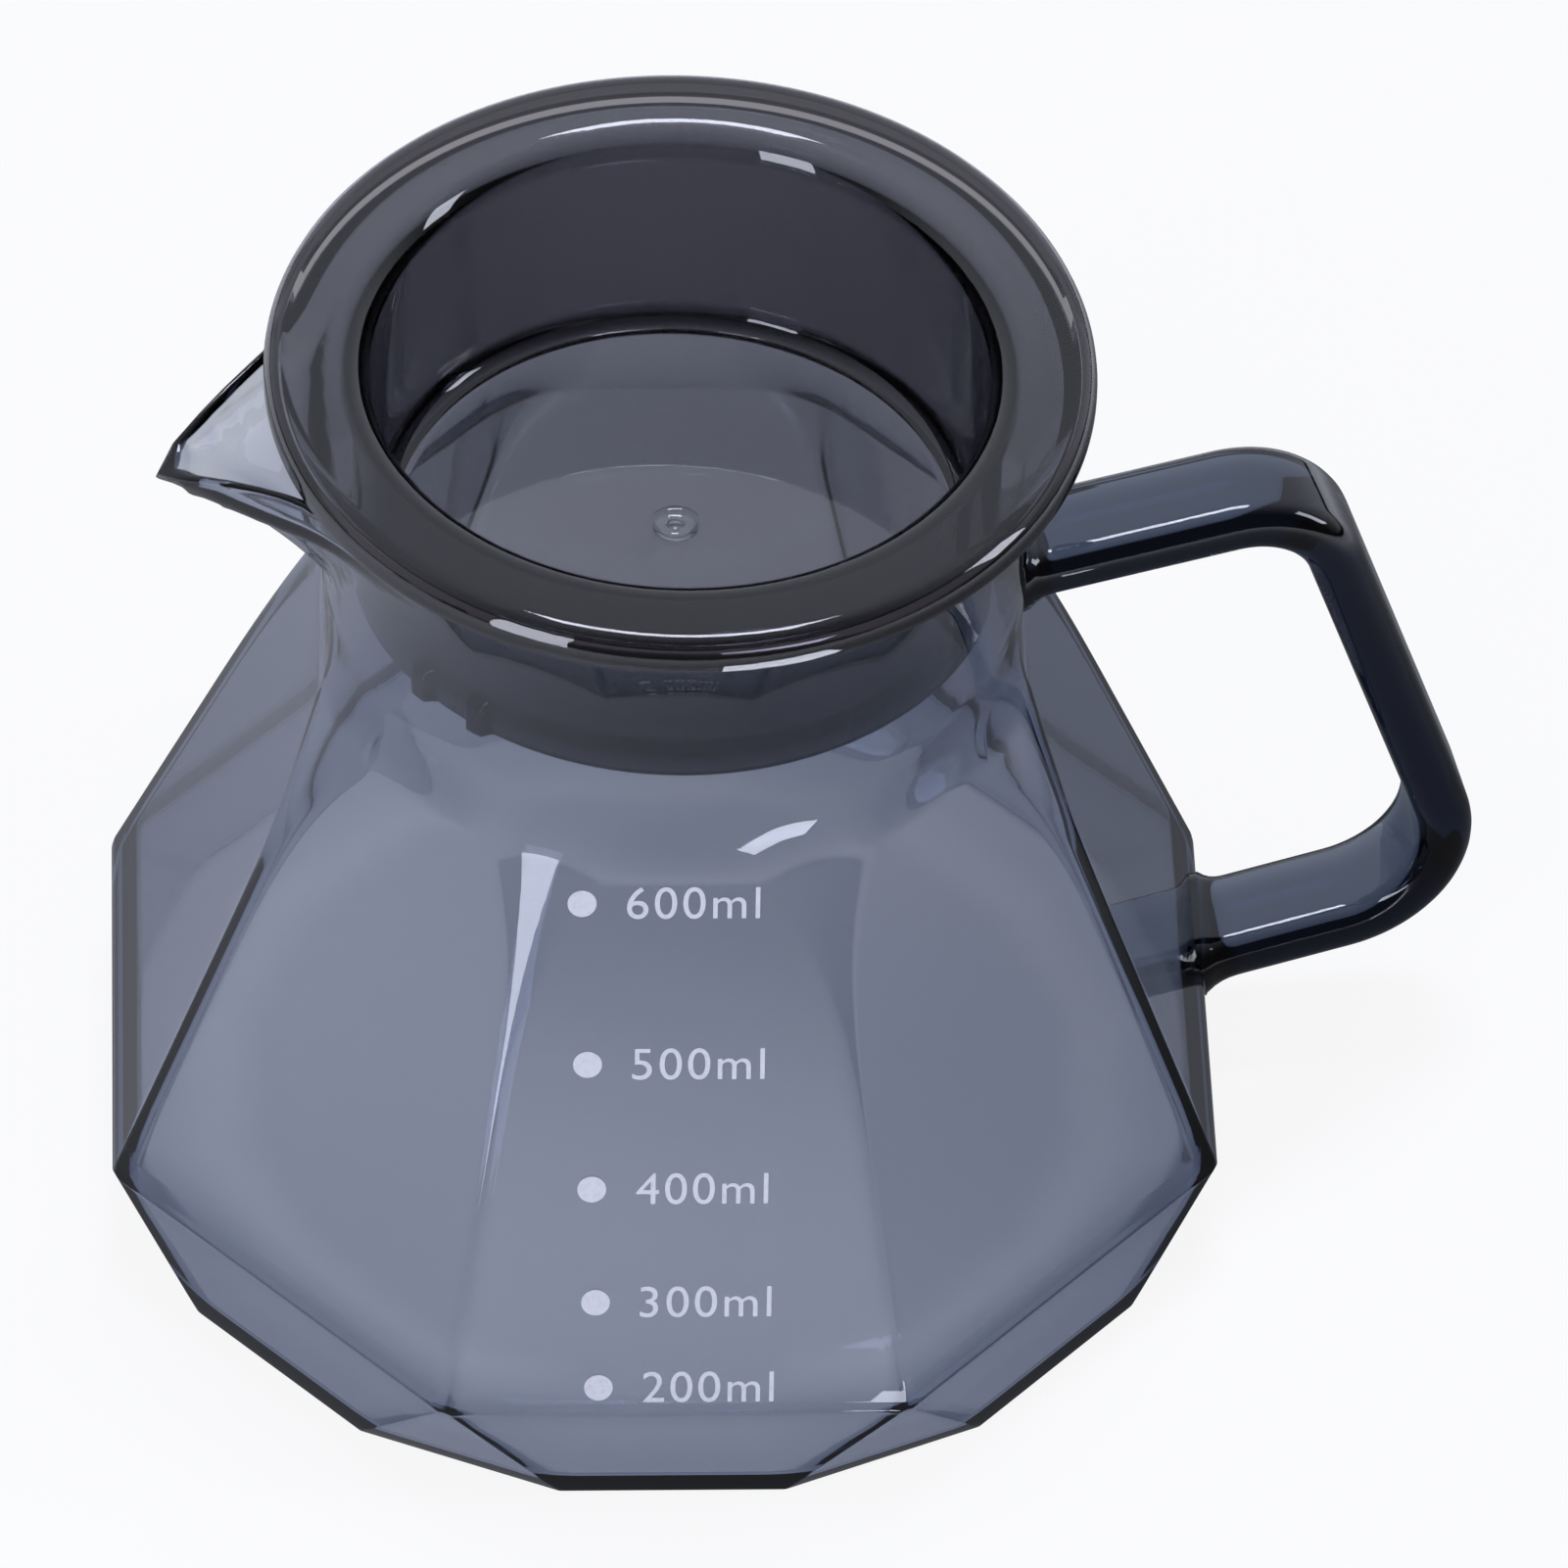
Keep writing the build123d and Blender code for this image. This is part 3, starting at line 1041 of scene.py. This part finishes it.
@dataclass
class Lid:
    """The moulded cup-shaped lid, in millimetres."""

    bottom: float = 86.1
    floor_top: float = 88.8
    rest_height: float = 111.0
    top: float = 115.0
    flange_radius: float = 44.4
    flange_thickness: float = 1.6
    flange_edge: float = 2.6
    lip_width: float = 1.7
    skirt_radius: float = 34.3
    draft: float = 1.2
    wall: float = 2.2
    opening_rounding: float = 3.9
    root_rounding: float = 1.6
    floor_rounding: float = 3.0
    corner_rounding: float = 1.0
    lug_azimuths: tuple[float, ...] = (209.5, 222.0)
    lug_proud: float = 1.3
    lug_width: float = 3.0
    lug_height: float = 5.2
    underside_recess: float = 1.6
    foot_ring: float = 2.2
    recess_edge: float = 1.4
    recess_rounding: float = 0.8
    foot_ring_rounding: float = 0.6
    lip_root_rounding: float = 0.4
    lip_inner_rounding: float = 0.3
    lip_outer_rounding: float = 0.5
    gate_radius: float = 2.6
    gate_outline: tuple[tuple[float, float], ...] = (
        (8.6, 0.0), (3.2, 0.0), (2.8, 0.12), (2.4, 0.12), (2.0, -0.25), (0.8, -0.25), (0.5, 0.0))
    skirt_shares: tuple[float, ...] = (0.0, 0.06, 0.12, 0.16, 0.18, 0.2, 0.22, 0.3, 0.6, 0.9)
    skirt_start: float = 1.4
    skirt_trim: float = 4.0
    skirt_band: float = 0.9
    lug_side_fade: tuple[float, float] = (0.7, 0.1)
    lug_end_fade: float = 0.3
    lug_foot_fade: float = 0.8
    lug_span: float = 5.0
    lug_columns: int = 40
    column_step: float = 2.0
    normal_weight: int = 70

    def azimuths(self) -> list[float]:
        """Azimuths of the columns, closer together at the lugs.

        Returns:
            The azimuths in degrees, in rising order.
        """
        even = spread(0, 360, round(360 / self.column_step))
        kept = [a for a in even if all(abs(a - lug) > self.lug_span for lug in self.lug_azimuths)]
        for lug in self.lug_azimuths:
            kept += spread(lug - self.lug_span, lug + self.lug_span, self.lug_columns)
        return sorted(kept)

    def lug_share(self, azimuth: float, z: float) -> float:
        """How far a lug stands out at a place on the skirt.

        Args:
            azimuth: The azimuth in degrees.
            z: The height.

        Returns:
            The share of the lug's full depth.
        """
        across = min(abs(azimuth - lug) for lug in self.lug_azimuths) * self.skirt_radius * math.radians(1)
        side = 1 - smooth_step(self.lug_width / 2 - self.lug_side_fade[0],
                               self.lug_width / 2 + self.lug_side_fade[1], across)
        height = z - self.bottom
        end = 1 - smooth_step(self.lug_height - self.lug_end_fade,
                              self.lug_height + self.lug_end_fade, height)
        return side * end * smooth_step(0, self.lug_foot_fade, height)

    def profile(self) -> list[tuple[float, float]]:
        """The outline of the moulding.

        Returns:
            Its radii and heights, from the middle of its underside to the middle of its floor.
        """
        under = self.top - self.flange_thickness
        skirt_top = self.skirt_radius + self.draft
        lip = self.flange_radius - self.lip_width
        bore_top = skirt_top - self.wall
        bore_bottom = self.skirt_radius - self.wall
        recess = self.bottom + self.underside_recess
        ring = self.skirt_radius - self.foot_ring
        corners = [(self.gate_radius, recess, 0), (ring * 0.5, recess, 0),
                   (ring - self.recess_edge, recess, self.recess_rounding),
                   (ring, self.bottom, self.foot_ring_rounding),
                   (self.skirt_radius, self.bottom, self.corner_rounding)]
        for share in self.skirt_shares:
            height = self.bottom + self.skirt_start + (under - self.bottom - self.skirt_trim) * share
            lean = (height - self.bottom) / (under - self.bottom)
            corners.append((self.skirt_radius + self.draft * lean, height, 0))
        corners += [(skirt_top, under, self.root_rounding), (lip, under, self.lip_root_rounding),
                    (lip, self.rest_height, self.lip_inner_rounding),
                    (self.flange_radius, self.rest_height, self.lip_outer_rounding),
                    (self.flange_radius, self.top, self.flange_edge),
                    (bore_top, self.top, self.opening_rounding),
                    (bore_bottom, self.floor_top, self.floor_rounding)]
        corners += [(r, self.floor_top + lift, 0) for r, lift in self.gate_outline]
        return rounded_profile(corners)

    def build(self) -> Piece:
        """Makes the lid and puts it in place of its node.

        Returns:
            The lid's object.
        """
        azimuths = self.azimuths()
        rows = []
        # The outline goes up the skirt first, so the lugs end for good where it reaches the flange.
        proud = self.lug_proud
        for r, z in self.profile():
            if z >= self.rest_height:
                proud = 0.0
            lug = proud if r > self.skirt_radius * self.skirt_band else 0.0
            rows.append([polar(r + lug * self.lug_share(azimuth, z), math.radians(azimuth), z)
                         for azimuth in azimuths])
        piece = skin("lid_cup", rows, (0, 0, self.bottom + self.underside_recess), (0, 0, self.floor_top))
        weighted = piece.modifiers.new("flat_faces", "WEIGHTED_NORMAL")
        weighted.weight = self.normal_weight
        piece.data.materials.append(LID_RESIN.material())
        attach(piece, Body.LID.value)
        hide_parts("lid")
        return piece


# The volume marks

@dataclass
class VolumeMarks:
    """The printed dots and figures on the facet beside the spout, in millimetres."""

    vessel: Vessel
    facet_azimuth: float = -90.0
    dot_diameter: float = 3.1
    dot_thickness: float = 0.15
    dot_offset: float = 8.4
    column_lean: float = 2.4
    heights: tuple[float, ...] = (16.8, 26.5, 39.3, 53.3, 71.2)
    volumes: tuple[int, ...] = (200, 300, 400, 500, 600)
    figure_gap: float = 4.8
    figure_width: float = 14.2
    figure_height: float = 3.75
    figure_thickness: float = 0.06
    figure_lift: float = 0.03
    letter_spacing: float = 1.12
    letter_depth: float = 0.01
    dot_sides: int = 48
    dot_sharp_angle: float = 40.0
    figure_sharp_angle: float = 30.0

    def __post_init__(self) -> None:
        """Works out the facet's directions."""
        azimuth = math.radians(self.vessel.facet_turn + self.facet_azimuth)
        lean = self.vessel.lean
        self.outward = Vector(polar(math.cos(lean), azimuth, math.sin(lean)))
        self.across = Vector((-math.sin(azimuth), math.cos(azimuth), 0))
        self.upward = self.outward.cross(self.across)
        self.azimuth = azimuth

    def dot_place(self, height: float) -> Vector:
        """The middle of a dot on the glass, in millimetres."""
        offset = self.dot_offset + (height - self.heights[0]) * math.tan(math.radians(self.column_lean))
        return Vector(polar(self.vessel.flat_radius(height), self.azimuth, height)) - self.across * offset

    def turn(self) -> Matrix:
        """The rotation that lays a flat shape on the facet."""
        return Matrix((self.across, self.upward, self.outward)).transposed()

    def dot_tree(self) -> Tree:
        """The geometry tree that puts a printed dot on each point of its seed.

        Returns:
            A tree whose seed is the dots' places.
        """
        tree, given = geometry_tree("mark_dots", {
            "Radius": "NodeSocketFloat", "Depth": "NodeSocketFloat", "Turn": "NodeSocketVector"})
        disc = add_node(tree, "GeometryNodeMeshCylinder", {
            "Vertices": self.dot_sides, "fill_type": "NGON", "Radius": given["Radius"],
            "Depth": given["Depth"]})
        points = add_node(tree, "GeometryNodeMeshToPoints", {"mode": "VERTICES", "Mesh": given["Geometry"]})
        turn = add_node(tree, "FunctionNodeEulerToRotation", {"Euler": given["Turn"]})
        placed = add_node(tree, "GeometryNodeInstanceOnPoints", {
            "Points": points, "Instance": disc, "Rotation": turn})
        end_tree(tree, given, placed)
        return tree

    def dots(self, enamel: bpy.types.Material) -> Piece:
        """Prints the column of dots.

        Args:
            enamel: The print's material.

        Returns:
            One object with all the dots.
        """
        seed = bpy.data.meshes.new("mark_places")
        lift = self.outward * (self.figure_lift + self.dot_thickness / 2)
        seed.from_pydata([(self.dot_place(height) + lift) * MM for height in self.heights], [], [])
        piece = grow("mark_dots", seed, self.dot_tree(), {
            "Radius": self.dot_diameter / 2 * MM, "Depth": self.dot_thickness * MM,
            "Turn": self.turn().to_euler(), "Finish": enamel})
        piece.data.set_sharp_from_angle(angle=math.radians(self.dot_sharp_angle))
        return piece

    def figures(self, enamel: bpy.types.Material) -> Piece:
        """Prints the plain volume figures beside the dots.

        Args:
            enamel: The print's material.

        Returns:
            One object with all the figures.
        """
        vertices, faces = [], []
        for height, volume in zip(self.heights, self.volumes):
            text = bpy.data.curves.new("figures", "FONT")
            text.body = f"{volume}ml"
            text.extrude = self.letter_depth
            text.space_character = self.letter_spacing
            holder = bpy.data.objects.new("figures_holder", text)
            bpy.context.scene.collection.objects.link(holder)
            mesh = shown_mesh(holder)
            bpy.data.objects.remove(holder)
            spots = [vertex.co.copy() for vertex in mesh.vertices]
            low = Vector([min(spot[axis] for spot in spots) for axis in range(3)])
            high = Vector([max(spot[axis] for spot in spots) for axis in range(3)])
            start = self.dot_place(height) + self.across * self.figure_gap
            first = len(vertices)
            for spot in spots:
                share = [(spot[axis] - low[axis]) / (high[axis] - low[axis]) for axis in range(3)]
                place = start + self.across * (share[0] * self.figure_width)
                place += self.upward * ((share[1] - 0.5) * self.figure_height)
                place += self.outward * (self.figure_lift + share[2] * self.figure_thickness)
                vertices.append(place * MM)
            faces += [[first + index for index in polygon.vertices] for polygon in mesh.polygons]
        mesh = bpy.data.meshes.new("mark_figures")
        mesh.from_pydata(vertices, [], faces)
        piece = new_piece("mark_figures", mesh)
        mesh.materials.append(enamel)
        mesh.set_sharp_from_angle(angle=math.radians(self.figure_sharp_angle))
        return piece

    def build(self) -> list[Piece]:
        """Prints the dots and the figures in place of their node.

        Returns:
            The two objects.
        """
        enamel = PRINT_ENAMEL.material()
        pieces = [self.dots(enamel), self.figures(enamel)]
        for piece in pieces:
            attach(piece, Body.JUG.value)
            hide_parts("volume_marks")
        return pieces


# The studio

@dataclass(frozen=True)
class Softbox:
    """A rectangular studio lamp, in metres and watts."""

    name: str
    place: Point
    aim: Point
    size: tuple[float, float]
    power: float
    colour: str = "e6eaf8"

    def build(self) -> None:
        """Hangs the lamp and turns it to what it lights."""
        lamp = bpy.data.lights.new(self.name, "AREA")
        lamp.shape = "RECTANGLE"
        lamp.size, lamp.size_y = self.size
        lamp.energy = self.power
        lamp.color = linear(self.colour)[:3]
        holder = bpy.data.objects.new(self.name, lamp)
        holder.location = self.place
        holder.rotation_euler = (Vector(self.aim) - Vector(self.place)).to_track_quat("-Z", "Y").to_euler()
        holder.visible_camera = False
        bpy.context.scene.collection.objects.link(holder)


@dataclass(frozen=True)
class Spot:
    """A round spot of painted floor brightness, with one level inside and another outside, in metres."""

    middle: Point
    radii: tuple[float, float]
    levels: tuple[float, float]

    def level(self, tree: Tree, place: Socket) -> Socket:
        """The level at a place, which changes smoothly between the spot's two radii."""
        away = add_node(tree, "ShaderNodeVectorMath", {"operation": "DISTANCE", 0: place, 1: self.middle})
        return ramp(tree, away.outputs["Value"], self.radii, self.levels)


@dataclass
class Studio:
    """The floor, the lamps, the surroundings and the camera, in metres and degrees."""

    floor_size: float = 14.0
    floor_drop: float = 0.0002
    camera_place: Point = (-0.25549, -1.06322, 1.17970)
    camera_azimuth: float = 14.184
    camera_elevation: float = 45.946
    camera_roll: float = 2.381
    lens: float = 329.6
    sensor: float = 36.0
    shadow_share: float = 0.12
    paper_colour: str = "e6e6ea"
    mirror_colour: str = "e3e7f6"
    # Painted floor brightness: a painted glow and a painted contact shadow of the jug seen in reflections,
    # and a painted falloff and a painted cast shadow of the jug seen through glass.
    mirrored_painted_glow: Spot = Spot((0.0, 0.6, 0.0), (1.0, 1.45), (1.6, 0.08))
    mirrored_painted_shadow: Spot = Spot((0.09, 0.02, 0.0), (0.05, 0.42), (0.12, 1.0))
    through_painted_falloff: Spot = Spot((0.0, 0.1, 0.0), (0.22, 0.6), (1.0, 0.3))
    through_painted_shadow: Spot = Spot((0.075, 0.045, 0.0), (0.03, 0.13), (0.8, 1.0))
    room_rise: tuple[float, float] = (0.0, 0.8)
    room_rise_levels: tuple[float, float] = (0.75, 0.45)
    room_depth: tuple[float, float] = (-0.6, 0.4)
    room_depth_levels: tuple[float, float] = (0.08, 1.0)
    room_through: float = 0.45
    softboxes: tuple[Softbox, ...] = (
        Softbox("overhead_softbox", (0.1, 0.35, 1.5), (0, 0, 0.06), (0.5, 0.3), 9.0),
        Softbox("left_panel", (-0.38, -0.36, 0.212), (0, 0, 0.212), (0.17, 0.42), 2.3),
        Softbox("front_card", (0.034, -0.155, 0.002), (0.034, -0.155, 1.0), (0.075, 0.038), 0.1),
        Softbox("right_panel", (0.9, -0.25, 0.5), (0, 0, 0.08), (0.2, 0.45), 3.0),
    )

    def paper_levels(self, tree: Tree) -> tuple[Socket, Socket]:
        """How the floor shows: white to the camera, with a painted glow and painted shadows through glass
        and in reflections.

        Args:
            tree: The floor's material tree.

        Returns:
            The share of plain glow in place of lit paper, and the strength of the glow.
        """
        place = add_node(tree, "ShaderNodeTexCoord").outputs["Object"]
        path = add_node(tree, "ShaderNodeLightPath").outputs
        # Painted glow times painted contact shadow in reflections; painted cast shadow times painted falloff
        # through glass.
        mirrored = reckon(tree, "MULTIPLY", self.mirrored_painted_glow.level(tree, place),
                          self.mirrored_painted_shadow.level(tree, place))
        through = reckon(tree, "MULTIPLY", self.through_painted_shadow.level(tree, place),
                         self.through_painted_falloff.level(tree, place))
        bounced = between(tree, path["Is Transmission Ray"], mirrored, through)
        strength = between(tree, path["Is Camera Ray"], bounced, 1.0)
        share = between(tree, path["Is Camera Ray"], path["Is Glossy Ray"], 1 - self.shadow_share)
        return share, strength

    def room_colour(self, tree: Tree) -> Socket:
        """The colour of all that glows: white seen straight or through glass, bluish in a reflection.

        Args:
            tree: The tree that gets the nodes.

        Returns:
            The colour.
        """
        path = add_node(tree, "ShaderNodeLightPath").outputs
        straight = reckon(tree, "MAXIMUM", path["Is Camera Ray"], path["Is Transmission Ray"])
        return add_node(tree, "ShaderNodeMix", {
            "data_type": "RGBA", "Factor": straight, 6: linear(self.mirror_colour),
            7: linear("ffffff")}).outputs[2]

    def floor(self) -> None:
        """Lays the pale floor, which shows white and keeps a soft shadow, with painted shadows and a painted
        glow where glass shows it.
        """
        half = self.floor_size / 2
        mesh = bpy.data.meshes.new("floor")
        corners = [(-half, -half), (half, -half), (half, half), (-half, half)]
        mesh.from_pydata([(x, y, -self.floor_drop) for x, y in corners], [], [(0, 1, 2, 3)])
        floor = new_piece("floor", mesh)
        # White paper, with painted shadows and a painted glow in what glass shows of it.
        material = bpy.data.materials.new("white_paper_painted_shadow")
        tree = empty_tree(material)
        paper = add_node(tree, "ShaderNodeBsdfDiffuse", {"Color": linear(self.paper_colour)})
        share, strength = self.paper_levels(tree)
        glow = add_node(tree, "ShaderNodeEmission", {"Color": self.room_colour(tree), "Strength": strength})
        mixed = add_node(tree, "ShaderNodeMixShader", {0: share, 1: paper, 2: glow})
        add_node(tree, "ShaderNodeOutputMaterial", {"Surface": mixed})
        mesh.materials.append(material)

    def world(self) -> None:
        """Surrounds the table with a pale room, brighter low down and, in reflections, at the back."""
        world = bpy.data.worlds.new("pale_room")
        bpy.context.scene.world = world
        tree = empty_tree(world)
        where = add_node(tree, "ShaderNodeTexCoord").outputs["Generated"]
        axes = add_node(tree, "ShaderNodeSeparateXYZ", {"Vector": where}).outputs
        path = add_node(tree, "ShaderNodeLightPath").outputs
        level = between(tree, path["Is Glossy Ray"],
                        ramp(tree, axes["Z"], self.room_rise, self.room_rise_levels),
                        ramp(tree, axes["Y"], self.room_depth, self.room_depth_levels))
        level = between(tree, path["Is Transmission Ray"], level, self.room_through)
        level = between(tree, path["Is Camera Ray"], level, 1.0)
        room = add_node(tree, "ShaderNodeBackground", {"Color": self.room_colour(tree), "Strength": level})
        add_node(tree, "ShaderNodeOutputWorld", {"Surface": room})

    def camera(self) -> None:
        """Sets up the camera at the photograph's angle."""
        azimuth, elevation = math.radians(self.camera_azimuth), math.radians(self.camera_elevation)
        forward = Vector((math.sin(azimuth) * math.cos(elevation), math.cos(azimuth) * math.cos(elevation),
                          -math.sin(elevation)))
        level_right = forward.cross(Vector((0, 0, 1))).normalized()
        level_up = level_right.cross(forward)
        roll = math.radians(self.camera_roll)
        right = level_right * math.cos(roll) + level_up * math.sin(roll)
        up = level_up * math.cos(roll) - level_right * math.sin(roll)
        lens = bpy.data.cameras.new("photo_camera")
        lens.lens = self.lens
        lens.sensor_width = self.sensor
        camera = bpy.data.objects.new("photo_camera", lens)
        camera.matrix_world = Matrix.Translation(self.camera_place) @ Matrix(
            (right, up, -forward)).transposed().to_4x4()
        bpy.context.scene.collection.objects.link(camera)
        bpy.context.scene.camera = camera

    def build(self) -> None:
        """Builds the whole studio."""
        self.floor()
        self.world()
        for softbox in self.softboxes:
            softbox.build()
        self.camera()
        bpy.context.scene.view_settings.view_transform = "Standard"


def report(piece: Piece) -> None:
    """Logs a piece and the size of its mesh."""
    LOG.info("%s: %d points, %d faces", piece.name, len(piece.data.vertices), len(piece.data.polygons))


def main() -> None:
    """Builds the carafe's looks round its frame."""
    logging.basicConfig(level=logging.INFO)
    vessel = Vessel()
    glass = vessel.build()
    report(glass)
    report(Handle().build(glass))
    report(Lid().build())
    for piece in VolumeMarks(vessel).build():
        report(piece)
    Studio().build()


if __name__ == "__main__":
    main()
